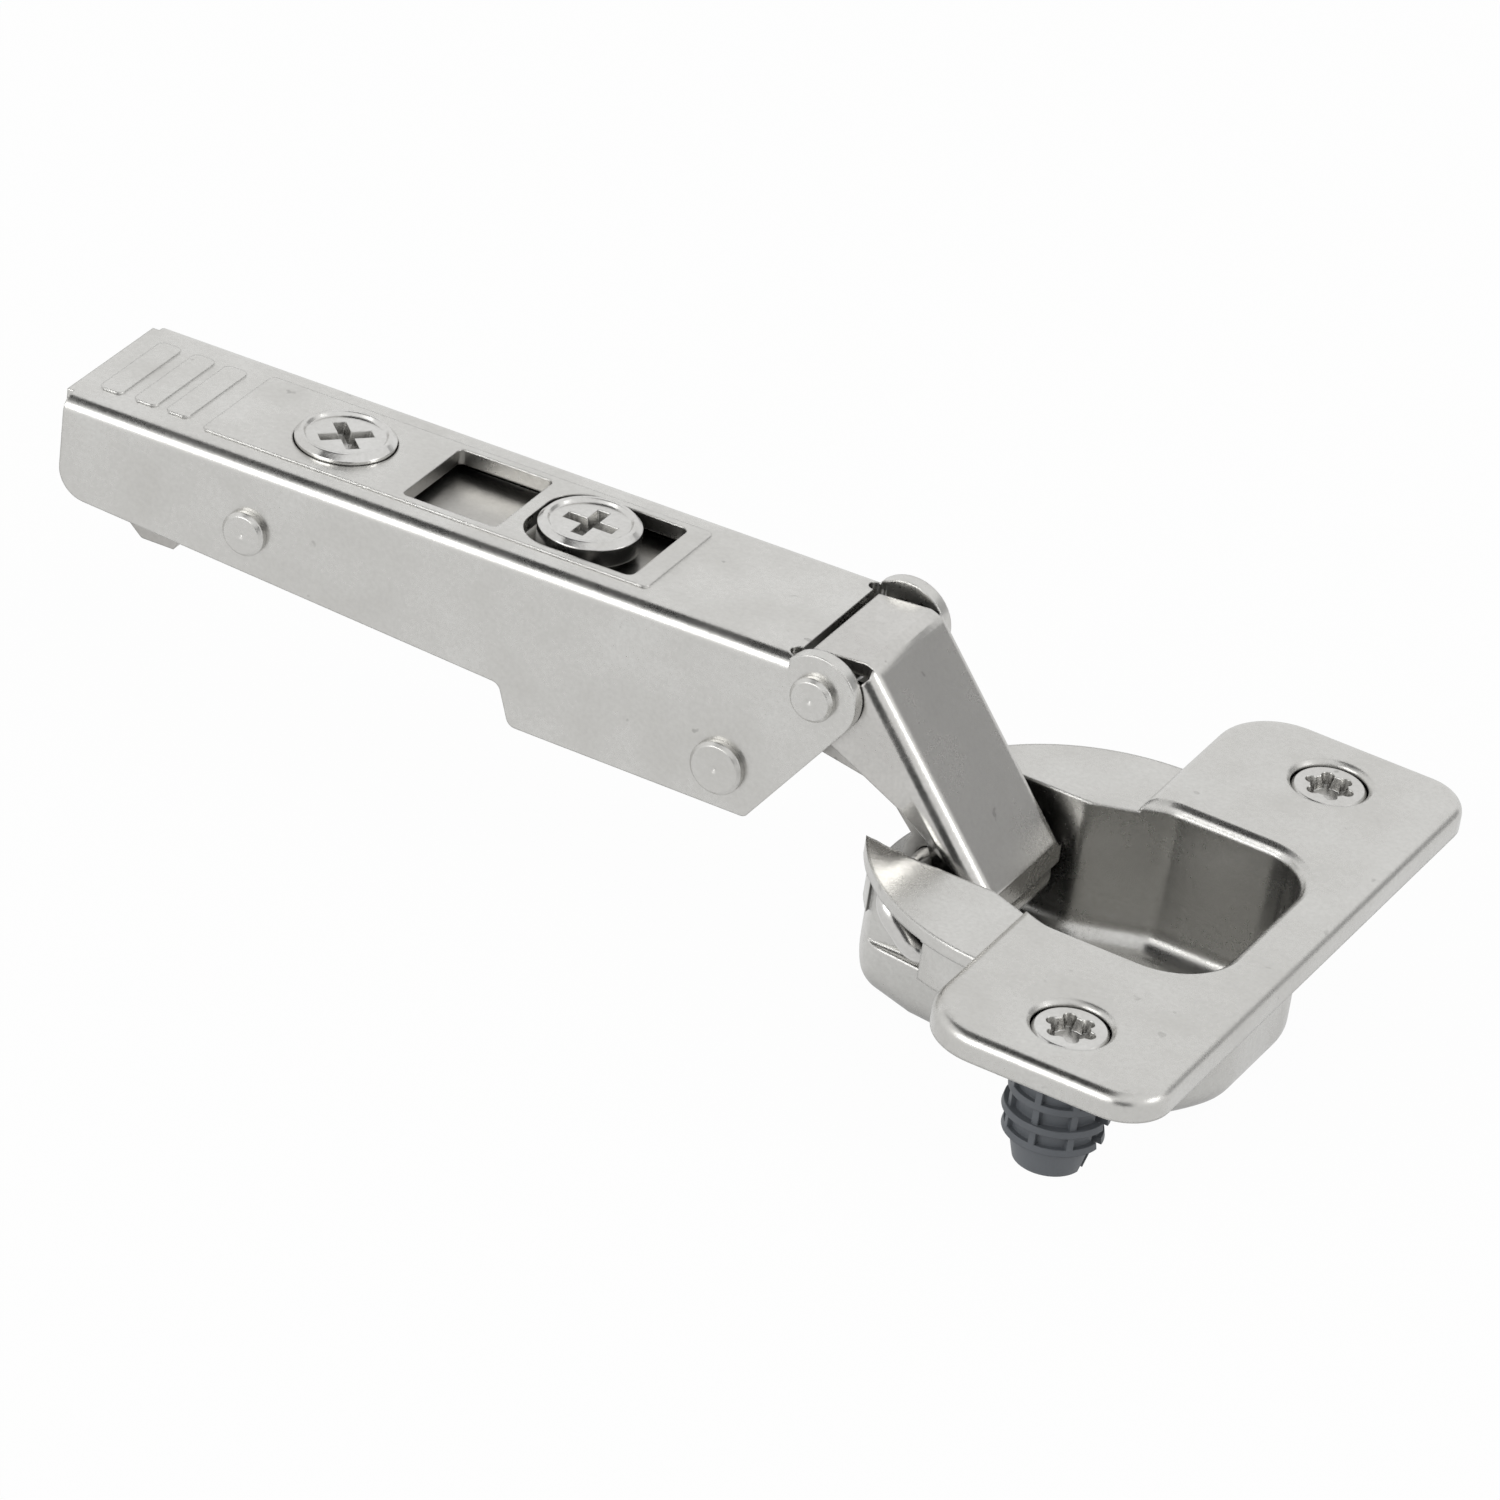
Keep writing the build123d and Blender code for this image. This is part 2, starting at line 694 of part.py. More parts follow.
def shifted(p, q, amount):
    # The direction to the right of the run from p to q, scaled.
    dx = q[0] - p[0]
    dz = q[1] - p[1]
    span = (dx * dx + dz * dz) ** 0.5
    return (amount * dz / span, -amount * dx / span)


def inset_corner(p, q, r, amount):
    # Corner q of the bent line p, q, r, moved inward by one sheet thickness.
    ax, az = shifted(p, q, amount)
    bx, bz = shifted(q, r, amount)
    ux, uz = q[0] - p[0], q[1] - p[1]
    vx, vz = r[0] - q[0], r[1] - q[1]
    k = ((bx - ax) * vz - (bz - az) * vx) / (ux * vz - uz * vx)
    return (q[0] + ax + k * ux, q[1] + az + k * uz)


# Outer link: bent plate, its flanges running to the cup axle with their lower part set inward
foot = c_local
stub = (link_stub_back_x, arm_top_z)
stub_in = (link_stub_back_x, under_top_z)
bend_in = inset_corner(stub, link_bend, link_low, sheet)
low_in = inset_corner(link_bend, link_low, link_hook, sheet)
hook_shift = shifted(link_low, link_hook, sheet)
hook_in = (link_hook[0] + hook_shift[0], link_hook[1] + hook_shift[1])
jog_a = link_jog_start
jog_b = tuple(low_in[k] + link_jog_share * (bend_in[k] - low_in[k]) for k in (0, 1))
far_left = -link_ear_r - 2
with BuildPart() as link_relief:
    with BuildSketch(arm_side):
        with BuildLine():
            Polyline(
                (far_left, link_heel[1]),
                link_heel,
                (link_stub_back_x, link_relief_z),
                (link_bend[0] - link_relief_run, link_relief_z),
                (link_bend[0], link_relief_z + link_relief_run),
                (link_bend[0], arm_top_z + link_ear_r),
                (far_left, arm_top_z + link_ear_r),
                close=True,
            )
        make_face()
    extrude(amount=link_half_w + 1, both=True)
    with BuildSketch(arm_side):
        Rectangle(4 * link_ear_r, 4 * link_ear_r)
    extrude(amount=link_stub_half_w, both=True, mode=Mode.SUBTRACT)
    # Space over the stub and behind its end
    with BuildSketch(arm_side):
        with BuildLine():
            Polyline(
                (far_left, link_heel[1]),
                link_heel,
                (link_stub_back_x, link_relief_z),
                stub,
                link_bend,
                (link_bend[0], arm_top_z + link_ear_r),
                (far_left, arm_top_z + link_ear_r),
                close=True,
            )
        make_face()
    extrude(amount=link_stub_half_w, both=True)

with BuildPart() as outer_link:
    with BuildSketch(arm_side) as link_plate:
        with BuildLine():
            Polyline(
                stub, link_bend, link_low, link_hook, hook_in, low_in, bend_in, stub_in, close=True
            )
        make_face()
        fillet(link_plate.vertices().sort_by_distance(link_bend)[0], link_crease_r)
        fillet(link_plate.vertices().sort_by_distance(link_low)[0], link_crease_r)
        fillet(link_plate.vertices().sort_by_distance(stub)[0], link_stub_r)
    extrude(amount=link_half_w, both=True)
    with BuildSketch(arm_side):
        with BuildLine():
            Polyline(
                (0, 0),
                bend_in,
                jog_b,
                jog_a,
                tangent_from(jog_a, (0, 0), link_ear_r, 1),
                close=True,
            )
        make_face()
        Circle(link_ear_r)
    extrude(amount=link_half_w, both=True)
    with BuildSketch(arm_side):
        with BuildLine():
            Polyline(
                (jog_a[0], jog_a[1] + sheet),
                link_neck,
                tangent_from(link_neck, foot, link_foot_r, 1),
                foot,
                hook_in,
                low_in,
                (jog_b[0] - sheet, jog_b[1] + sheet),
                close=True,
            )
        make_face()
        with Locations(foot):
            Circle(link_foot_r)
    extrude(amount=link_half_w - link_jog, both=True)
    with BuildSketch(arm_side):
        with BuildLine():
            Polyline(
                (far_left, under_top_z),
                bend_in,
                (jog_b[0] - sheet, jog_b[1] + sheet),
                (jog_a[0], jog_a[1] + sheet),
                (far_left, jog_a[1] + sheet),
                close=True,
            )
        make_face()
    extrude(amount=link_half_w - sheet, both=True, mode=Mode.SUBTRACT)
    with BuildSketch(arm_side):
        with BuildLine():
            Polyline(
                (far_left, under_top_z),
                bend_in,
                low_in,
                hook_in,
                (hook_in[0], foot[1] - link_foot_r - 1),
                (far_left, foot[1] - link_foot_r - 1),
                close=True,
            )
        make_face()
    extrude(amount=link_half_w - sheet - link_jog, both=True, mode=Mode.SUBTRACT)
    add(link_relief.part, mode=Mode.SUBTRACT)
    with BuildSketch(arm_side):
        Circle(rivet_r + run_gap)
        with Locations(foot):
            Circle(wire_r + run_gap)
    extrude(amount=arm_w, both=True, mode=Mode.SUBTRACT)
finish(outer_link, "outer_link")

# Inner link: rolled eye on the cup's rear axle, humped web, slotted cheeks on the lower rivet.
# The cheeks' slot gives the open pivot of the four-bar the play that it needs.
with BuildPart() as inner_link:
    with BuildSketch(arm_side) as web:
        with BuildLine() as web_line:
            FilletPolyline(
                (pin_b_local[0] + slot_travel_x + slot_wall, pin_b_local[1] + inner_web_rise),
                inner_hump[0],
                inner_hump[1],
                (d_local[0] - inner_web_t / 2, d_local[1] + inner_eye_r - inner_web_t / 2),
                radius=inner_web_bend,
            )
        trace(web_line.line, line_width=inner_web_t)
        with Locations(d_local):
            Circle(inner_eye_r)
    extrude(amount=inner_half_w, both=True)
    with BuildSketch(arm_side) as cheeks:
        with Locations((pin_b_local[0], pin_b_local[1] + sum(slot_travel_z) / 2)):
            Rectangle(
                2 * (slot_travel_x + rivet_r + run_gap + slot_wall),
                slot_travel_z[1] - slot_travel_z[0] + 2 * (rivet_r + run_gap + slot_wall),
            )
        fillet(cheeks.vertices(), rivet_r + slot_wall)
    extrude(amount=inner_half_w, both=True)
    with BuildSketch(arm_side):
        with Locations((pin_b_local[0] + inner_cheek_x, pin_b_local[1])):
            Rectangle(inner_cheek_cut, 6 * inner_eye_r)
    extrude(amount=inner_half_w - inner_cheek_t, both=True, mode=Mode.SUBTRACT)
    with BuildSketch(arm_side) as play:
        with Locations((pin_b_local[0], pin_b_local[1] + sum(slot_travel_z) / 2)):
            Rectangle(
                2 * (slot_travel_x + rivet_r + run_gap),
                slot_travel_z[1] - slot_travel_z[0] + 2 * (rivet_r + run_gap),
            )
        fillet(play.vertices(), rivet_r)
        with Locations(d_local):
            Circle(wire_r + run_gap)
    extrude(amount=arm_w, both=True, mode=Mode.SUBTRACT)
finish(inner_link, "inner_link")

# Inner plate under the arm's top: wide front with side walls, narrow tail to the depth screw
plate_top_z = under_top_z - plate_drop
with BuildPart() as inner_plate:
    with BuildSketch(arm_flat.offset(plate_top_z)):
        with Locations(((plate_wall_x[0] + plate_x[1]) / 2, 0)):
            Rectangle(plate_x[1] - plate_wall_x[0], 2 * plate_half_w)
        with Locations(((plate_x[0] + plate_wall_x[0] + 1) / 2, 0)):
            Rectangle(plate_wall_x[0] + 1 - plate_x[0], 2 * plate_tail_half_w)
    extrude(amount=-plate_t)
    with BuildSketch(arm_side) as plate_wall:
        with BuildLine():
            Polyline(
                (plate_wall_x[0], plate_top_z),
                (plate_x[1], plate_top_z),
                (plate_wall_x[1], plate_wall_z),
                (plate_wall_x[0], plate_wall_z),
                close=True,
            )
        make_face()
        fillet(plate_wall.vertices().group_by(Axis.Y)[0], plate_wall_corner)
    extrude(amount=plate_half_w, both=True)
    with BuildSketch(arm_side):
        with Locations(((plate_wall_x[0] + plate_x[1]) / 2, plate_top_z - plate_t)):
            Rectangle(
                plate_x[1] - plate_wall_x[0] + 2 * plate_t,
                plate_cut_h,
                align=(Align.CENTER, Align.MAX),
            )
    extrude(amount=plate_half_w - plate_t, both=True, mode=Mode.SUBTRACT)
    with BuildSketch(arm_flat.offset(plate_top_z)):
        with Locations((side_screw_x, 0)):
            Circle(side_boss_r)
    extrude(amount=-plate_t - side_boss_t)
    with BuildSketch(arm_flat.offset(plate_top_z)) as plate_holes:
        with Locations((side_screw_x, 0)):
            Circle(side_shank_r + seat_gap)
        with Locations((depth_screw_x - sum(depth_travel) / 2, 0)):
            SlotCenterToCenter(depth_travel[1] - depth_travel[0], 2 * (depth_shank_r + block_gap))
    extrude(amount=-2 * (plate_t + side_boss_t), mode=Mode.SUBTRACT)
    wall_run = plate_x[1] - plate_wall_x[0]
    folds = inner_plate.edges().filter_by(lambda e: abs(e.length - wall_run) < 1e-3)
    fillet(folds.sort_by(Axis.Z)[-2:], plate_fold_r)
finish(inner_plate, "inner_plate")

# Depth block: slides in the arm under the tail of the inner plate
block_top_z = plate_top_z - plate_t - block_gap
with BuildPart() as depth_block:
    with BuildSketch(arm_flat.offset(block_top_z)) as block_outline:
        with Locations(((block_x[0] + block_x[1]) / 2, 0)):
            RectangleRounded(block_x[1] - block_x[0], 2 * block_half_w, block_corner)
        with Locations((depth_screw_x - sum(depth_travel) / 2, 0)):
            SlotCenterToCenter(
                depth_travel[1] - depth_travel[0], 2 * (depth_shank_r + block_gap), mode=Mode.SUBTRACT
            )
    extrude(amount=-block_t)
finish(depth_block, "depth_block")


def make_adjuster(x, head_r, head_t, shank_r, shank_len, turn, ring):
    # Cheese-head adjusting screw with a tapered cross recess, its top just proud of the arm.
    top = arm_top_z + screw_proud
    axis_point = arm_flat.from_local_coords((x, 0, 0))
    with BuildPart() as screw:
        with BuildSketch(Plane(origin=axis_point, x_dir=arm_dir, z_dir=(0, -1, 0))):
            with BuildLine():
                Polyline(
                    (0, top - head_t - shank_len),
                    (shank_r - head_bevel, top - head_t - shank_len),
                    (shank_r, top - head_t - shank_len + head_bevel),
                    (shank_r, top - head_t),
                    (head_r, top - head_t),
                    (head_r, top - head_bevel),
                    (head_r - head_bevel, top),
                    (head_r - ring, top),
                    (head_r - ring - head_bevel / 2, top - ring_sink),
                    (0, top - ring_sink),
                    close=True,
                )
            make_face()
        revolve(axis=Axis(axis_point, arm_up))
        with BuildSketch(arm_flat.offset(top)):
            with Locations((x, 0)):
                Rectangle(cross_len, cross_w, rotation=turn)
                Rectangle(cross_w, cross_len, rotation=turn)
        extrude(amount=-cross_depth, taper=cross_taper, mode=Mode.SUBTRACT)
    return screw


finish(
    make_adjuster(
        depth_screw_x, depth_head_r, depth_head_t, depth_shank_r, depth_shank_len, 45, depth_ring
    ),
    "depth_screw",
)
finish(
    make_adjuster(
        side_screw_x, side_head_r, side_head_t, side_shank_r, side_shank_len, 0, side_ring
    ),
    "side_screw",
)

# Clip lever: two side plates on the rear rivet, joined at the thumb end and by a cross web
with BuildPart() as clip_lever:
    with BuildSketch(arm_side) as lever_outline:
        with BuildLine():
            Polyline(
                (pin_r_local[0], pin_r_local[1] + lever_eye_r),
                (lever_x[0] + 1, lever_top_z),
                (lever_x[0], lever_top_z - 1),
                (lever_x[0], lever_low_z),
                (lever_tab_x[0] - 2, lever_low_z - 0.7),
                (lever_tab_x[0], lever_tab_z),
                (lever_tab_x[1], lever_tab_z),
                (lever_tab_x[1] + 1.2, lever_low_z - 0.6),
                (pin_r_local[0], pin_r_local[1] - lever_eye_r),
                close=True,
            )
        make_face()
        with Locations(pin_r_local):
            Circle(lever_eye_r)
    extrude(amount=lever_half_w, both=True)
    fillet(clip_lever.edges().filter_by(Axis.Y).group_by(Axis.Z)[0], lever_tab_r)
    with BuildSketch(arm_side):
        Rectangle(4 * -lever_x[0], lever_cut_h)
        with Locations(((lever_x[0] + lever_t / 2), (lever_top_z + lever_low_z) / 2)):
            Rectangle(lever_t, lever_top_z - lever_low_z, mode=Mode.SUBTRACT)
        with Locations(((lever_web_x[0] + lever_web_x[1]) / 2, lever_web_z)):
            Rectangle(lever_web_x[1] - lever_web_x[0], lever_t, mode=Mode.SUBTRACT)
    extrude(amount=lever_half_w - lever_t, both=True, mode=Mode.SUBTRACT)
    with BuildSketch(arm_side):
        with Locations(pin_r_local):
            Circle(rivet_r + run_gap)
    extrude(amount=arm_w, both=True, mode=Mode.SUBTRACT)
finish(clip_lever, "clip_lever")

# Bow spring between the arm's top and the lever's cross web
with BuildPart() as lever_spring:
    with BuildSketch(arm_side):
        with BuildLine() as bow:
            FilletPolyline(
                (lever_web_x[1] + bow_len, under_top_z - leaf_t / 2 - seat_gap),
                (lever_web_x[1], under_top_z - leaf_t / 2 - seat_gap),
                (lever_web_x[0] + bow_gap, lever_web_z + lever_t / 2 + leaf_t / 2 + bow_gap),
                (lever_web_x[1] + 2 * bow_gap, lever_web_z + lever_t / 2 + leaf_t / 2 + bow_gap),
                radius=leaf_bend,
            )
        trace(bow.line, line_width=leaf_t)
    extrude(amount=leaf_half_w, both=True)
finish(lever_spring, "lever_spring")

# Closing spring: strip looped on the lower rivet, its free leg over the inner link's hump
with BuildPart() as closing_spring:
    with BuildSketch(arm_side):
        with Locations(pin_b_local):
            Circle(rivet_r + seat_gap + leaf_t)
        with BuildLine() as leg:
            FilletPolyline(
                (pin_b_local[0] - rivet_r - leaf_t / 2 - seat_gap, pin_b_local[1]),
                (pin_b_local[0] - rivet_r - leaf_t / 2 - seat_gap, spring_leg_z),
                (spring_leg_x, spring_leg_z),
                radius=leaf_bend,
            )
        trace(leg.line, line_width=leaf_t)
        with Locations(pin_b_local):
            Circle(rivet_r + seat_gap, mode=Mode.SUBTRACT)
    extrude(amount=spring_half_w, both=True)
finish(closing_spring, "closing_spring")
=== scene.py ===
import math

import bmesh
import bpy
from mathutils import Matrix, Vector


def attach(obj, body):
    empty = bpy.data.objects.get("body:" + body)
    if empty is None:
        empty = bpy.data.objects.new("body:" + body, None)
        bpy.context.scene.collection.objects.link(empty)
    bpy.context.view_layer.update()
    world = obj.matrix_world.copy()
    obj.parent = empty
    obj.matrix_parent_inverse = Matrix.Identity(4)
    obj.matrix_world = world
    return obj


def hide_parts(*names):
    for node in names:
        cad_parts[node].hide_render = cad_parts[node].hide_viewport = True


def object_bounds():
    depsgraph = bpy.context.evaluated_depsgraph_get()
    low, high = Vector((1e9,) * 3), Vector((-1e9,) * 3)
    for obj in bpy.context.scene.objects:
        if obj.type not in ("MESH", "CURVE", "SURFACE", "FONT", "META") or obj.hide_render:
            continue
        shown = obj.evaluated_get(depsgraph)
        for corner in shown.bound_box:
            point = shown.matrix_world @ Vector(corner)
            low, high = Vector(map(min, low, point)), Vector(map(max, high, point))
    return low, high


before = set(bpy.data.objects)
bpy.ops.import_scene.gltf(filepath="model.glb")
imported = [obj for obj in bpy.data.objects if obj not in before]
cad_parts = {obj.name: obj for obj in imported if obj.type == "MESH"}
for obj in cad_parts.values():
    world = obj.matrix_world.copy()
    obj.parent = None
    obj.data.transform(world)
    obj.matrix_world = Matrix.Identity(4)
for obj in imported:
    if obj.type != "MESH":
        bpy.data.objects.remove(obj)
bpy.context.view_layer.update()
scene = bpy.context.scene
scene.view_settings.view_transform = "Standard"

# Camera: at the photograph's viewing angle, in metres, for a square frame
CAM_AT = (0.24874, -0.62297, 0.41395)
CAM_RIGHT = (0.86772, 0.47848, 0.13460)
CAM_UP = (-0.35340, 0.40347, 0.84399)
CAM_BACK = (0.34953, -0.77992, 0.51919)
CAM_LENS = 243.3
SENSOR = 36.0

camera_data = bpy.data.cameras.new("camera")
camera = bpy.data.objects.new("camera", camera_data)
scene.collection.objects.link(camera)
camera_data.lens = CAM_LENS
camera_data.sensor_width = SENSOR
camera_data.clip_start = 0.01
camera_data.clip_end = 20.0
turn = Matrix((CAM_RIGHT, CAM_UP, CAM_BACK)).transposed().to_4x4()
camera.matrix_world = Matrix.Translation(CAM_AT) @ turn
scene.camera = camera

MM = 0.001


class Nodes:
    """A short way to write a node tree."""

    def __init__(self, tree):
        self.tree = tree
        self.tree.nodes.clear()

    def add(self, kind, **inputs):
        node = self.tree.nodes.new(kind)
        for name, value in inputs.items():
            self.put(node, name.replace("_", " "), value)
        return node

    def put(self, node, name, value):
        socket = node.inputs[name]
        if isinstance(value, bpy.types.NodeSocket):
            self.tree.links.new(value, socket)
        else:
            socket.default_value = value

    def mix(self, a, b, share):
        node = self.tree.nodes.new("ShaderNodeMix")
        node.data_type = "RGBA"
        self.put_index(node, 0, share)
        self.put_index(node, 6, a)
        self.put_index(node, 7, b)
        return node.outputs[2]

    def put_index(self, node, index, value):
        socket = node.inputs[index]
        if isinstance(value, bpy.types.NodeSocket):
            self.tree.links.new(value, socket)
        else:
            socket.default_value = value

    def math(self, operation, a, b=0.0, c=0.0):
        node = self.tree.nodes.new("ShaderNodeMath")
        node.operation = operation
        for index, value in enumerate((a, b, c)):
            self.put_index(node, index, value)
        return node.outputs[0]

    def ramp(self, value, *stops):
        node = self.tree.nodes.new("ShaderNodeValToRGB")
        self.tree.links.new(value, node.inputs[0])
        ramp = node.color_ramp
        while len(ramp.elements) < len(stops):
            ramp.elements.new(0.5)
        for element, (place, grey) in zip(ramp.elements, stops):
            element.position = place
            element.color = (grey, grey, grey, 1) if isinstance(grey, float) else (*grey, 1)
        return node.outputs[0]

    def noise(self, scale, detail=3.0, roughness=0.55, stretch=None):
        place = self.tree.nodes.new("ShaderNodeTexCoord").outputs["Object"]
        if stretch:
            mapping = self.tree.nodes.new("ShaderNodeMapping")
            mapping.inputs["Scale"].default_value = stretch
            self.tree.links.new(place, mapping.inputs["Vector"])
            place = mapping.outputs[0]
        node = self.add("ShaderNodeTexNoise", Scale=scale, Detail=detail, Roughness=roughness)
        self.tree.links.new(place, node.inputs["Vector"])
        return node.outputs["Fac"]


def new_material(name):
    material = bpy.data.materials.new(name)
    material.use_nodes = True
    return material, Nodes(material.node_tree)


# Scales of the steel's pattern, per metre
CLOUD_SCALE = 140
GRAIN_SCALE = 2600
SPOT_SCALE = 620
STREAK_SCALE = 900
GRIT_SHARE = 0.22        # how much of the fine grain shows as tone
STREAK_HEIGHT = 0.8      # height of the rolling lines beside the grain's
GRAIN_DEPTH = 0.00004
NODE_SAMPLES = 6         # of the Bevel and Ambient Occlusion nodes


def soft_edges(n, radius):
    """Normals eased over the sheet's edges, where the tumbled plating is rounded."""
    bevel = n.add("ShaderNodeBevel", Radius=radius)
    bevel.samples = NODE_SAMPLES
    return bevel.outputs[0]


def painted_hollow_shade(n, reach, dark):
    """Painted shade: 1 on open faces, down to the given share at the bottom of folds and pockets.
    """
    ao = n.add("ShaderNodeAmbientOcclusion", Distance=reach)
    ao.samples = NODE_SAMPLES
    return n.ramp(ao.outputs["AO"], (0.12, dark), (0.55, 1.0))


def plated_steel(
    name,
    colour,
    dark,
    rough,
    grain=0.22,
    blotch=0.45,
    speck=0.4,
    lines=None,
    edge=0.25,
    painted_shade_bottom_share=0.45,
    reach=9.0,
):
    """Satin nickel plating: cloudy tone, fine grain, faint rolling lines and small dark specks,
    with painted shade in its hollows.

    edge is the softness of the sheet's edges and reach how far the painted shade of a hollow
    spreads, in millimetres.
    deep is the share of the colour left at the bottom of a hollow, where shade is painted into
    the colour.
    """
    material, n = new_material(name)
    cloud = n.ramp(n.noise(CLOUD_SCALE, 4), (0.35, 0.0), (0.68, 1.0))
    fine = n.noise(GRAIN_SCALE, 2)
    tone = n.mix((*colour, 1), (*dark, 1), n.math("MULTIPLY", cloud, blotch))
    grit = n.ramp(fine, (0.30, 0.0), (0.72, 1.0))
    tone = n.mix(tone, (*[0.82 * c for c in dark], 1), n.math("MULTIPLY", grit, GRIT_SHARE))
    spots = n.ramp(n.noise(SPOT_SCALE, 2, 0.4), (0.735, 0.0), (0.77, 1.0))
    tone = n.mix(tone, (*[0.40 * c for c in dark], 1), n.math("MULTIPLY", spots, speck))
    # Painted shade: the colour darkens towards 0.16 of the dark nickel where the AO node finds
    # folds and pockets
    tone_with_painted_shade = n.mix((*[0.16 * c for c in dark], 1), tone, painted_hollow_shade(n, reach * MM, painted_shade_bottom_share))
    shader = n.add("ShaderNodeBsdfPrincipled", Metallic=1.0)
    n.put(shader, "Base Color", tone_with_painted_shade)
    shine = n.math("MULTIPLY_ADD", cloud, 0.08, rough)
    shine = n.math("MULTIPLY_ADD", fine, 0.10, shine)
    n.put(shader, "Roughness", shine)
    height = fine
    if lines:
        streak = n.noise(STREAK_SCALE, 3, 0.6, lines)
        height = n.math("MULTIPLY_ADD", streak, STREAK_HEIGHT, fine)
    bump = n.add("ShaderNodeBump", Strength=grain, Distance=GRAIN_DEPTH)
    n.put(bump, "Height", height)
    n.put(bump, "Normal", soft_edges(n, edge * MM))
    n.put(shader, "Normal", bump.outputs[0])
    out = n.add("ShaderNodeOutputMaterial")
    n.put(out, "Surface", shader.outputs[0])
    return material


def moulded_plastic(name, colour, rough):
    """Moulded polyamide: slightly mottled, soft sheen, fine skin."""
    material, n = new_material(name)
    cloud = n.noise(260, 3)
    tone = n.mix((*colour, 1), (*[1.35 * c for c in colour], 1), cloud)
    shader = n.add("ShaderNodeBsdfPrincipled", Metallic=0.0)
    n.put(shader, "Base Color", tone)
    n.put(shader, "Roughness", n.math("MULTIPLY_ADD", cloud, 0.15, rough))
    bump = n.add("ShaderNodeBump", Strength=0.3, Distance=0.00003)
    n.put(bump, "Height", n.noise(2200, 2))
    n.put(bump, "Normal", soft_edges(n, 0.15 * MM))
    n.put(shader, "Normal", bump.outputs[0])
    out = n.add("ShaderNodeOutputMaterial")
    n.put(out, "Surface", shader.outputs[0])
    return material


NICKEL = (0.66, 0.655, 0.635)
NICKEL_DARK = (0.52, 0.51, 0.485)
CUP_NICKEL = (0.63, 0.625, 0.605)
LINK_NICKEL = (0.62, 0.61, 0.59)
LINK_DARK = (0.47, 0.46, 0.44)
INNER_NICKEL = (0.50, 0.49, 0.47)
INNER_DARK = (0.36, 0.35, 0.33)
SCREW_NICKEL = (0.68, 0.675, 0.66)
SPRING_STEEL = (0.45, 0.44, 0.42)
SPRING_DARK = (0.33, 0.32, 0.30)
DOWEL_GREY = (0.095, 0.103, 0.113)
materials = {
    "arm": plated_steel("arm_nickel", NICKEL, NICKEL_DARK, 0.20, lines=(0.06, 1.0, 1.0)),
    # The cup's pocket gets the strongest painted shade, over the widest reach
    "cup": plated_steel(
        "cup_nickel", CUP_NICKEL, NICKEL_DARK, 0.18, speck=0.25, edge=0.4, painted_shade_bottom_share=0.08, reach=15.0
    ),
    "link": plated_steel("link_nickel", LINK_NICKEL, LINK_DARK, 0.16),
    "inner": plated_steel("inner_nickel", INNER_NICKEL, INNER_DARK, 0.24),
    "rivet": plated_steel("rivet_nickel", NICKEL, NICKEL_DARK, 0.20, edge=0.15),
    "screw": plated_steel("screw_nickel", SCREW_NICKEL, NICKEL_DARK, 0.12, grain=0.12, edge=0.15),
    "spring": plated_steel("spring_steel", SPRING_STEEL, SPRING_DARK, 0.18, grain=0.12),
    "dowel": moulded_plastic("dowel_polyamide", DOWEL_GREY, 0.38),
}
look_of = {
    "cup": "cup",
    "axle_wire": "screw",
    "dowel_near": "dowel",
    "dowel_far": "dowel",
    "fixing_screw_near": "screw",
    "fixing_screw_far": "screw",
    "outer_link": "link",
    "inner_link": "inner",
    "hinge_arm": "arm",
    "front_rivet": "rivet",
    "lower_rivet": "rivet",
    "rear_rivet": "rivet",
    "closing_spring": "spring",
    "lever_spring": "spring",
    "clip_lever": "inner",
    "inner_plate": "inner",
    "depth_block": "inner",
    "depth_screw": "screw",
    "side_screw": "screw",
}
for node, look in look_of.items():
    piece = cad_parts[node]
    for slot in piece.material_slots:
        slot.material = materials[look]

# The outer link with the press's own radii at its folds. Places are in millimetres in the
# arm's own directions, from the front rivet.
ARM_PIVOT = Vector((-22.2, 0, 11.3)) * MM
ARM_TILT = math.radians(2.4)
ARM_ALONG = Vector((math.cos(ARM_TILT), 0, math.sin(ARM_TILT)))
ARM_UP = Vector((-math.sin(ARM_TILT), 0, math.cos(ARM_TILT)))
LINK_BEND = (3.6, 2.95)      # corner between the link's top and its broad face
LINK_LOW = (16.0, -13.4)     # foot of the broad face
LINK_STUB = (-1.75, 2.95)    # rear end of the link's top
LINK_HALF_W = 6.6
LINK_FOLD_R = 1.7            # along both sides of the broad face
LINK_BEND_R = 2.6            # across the bend
FOLD_START = 0.02            # the waste starts this share of the fold above the bend
FOLD_LENGTH = 1.05           # and runs this many times the fold's length
BEND_SPARE = 1.0             # the bend's waste reaches this far past each side
ARC_STEPS = 12
WASTE_SPARE = 0.4            # how far waste stands out of the sheet
WELD = 1e-6                  # vertices this close are one
SMOOTH_UNDER = math.radians(32)
FLAT_WEIGHT = 100            # large flat faces set the normals at their edges


def arm_point(x, y, z):
    """A point of the folded parts, from millimetres in the arm's own directions."""
    return ARM_PIVOT + (x * ARM_ALONG + z * ARM_UP) * MM + Vector((0, y * MM, 0))


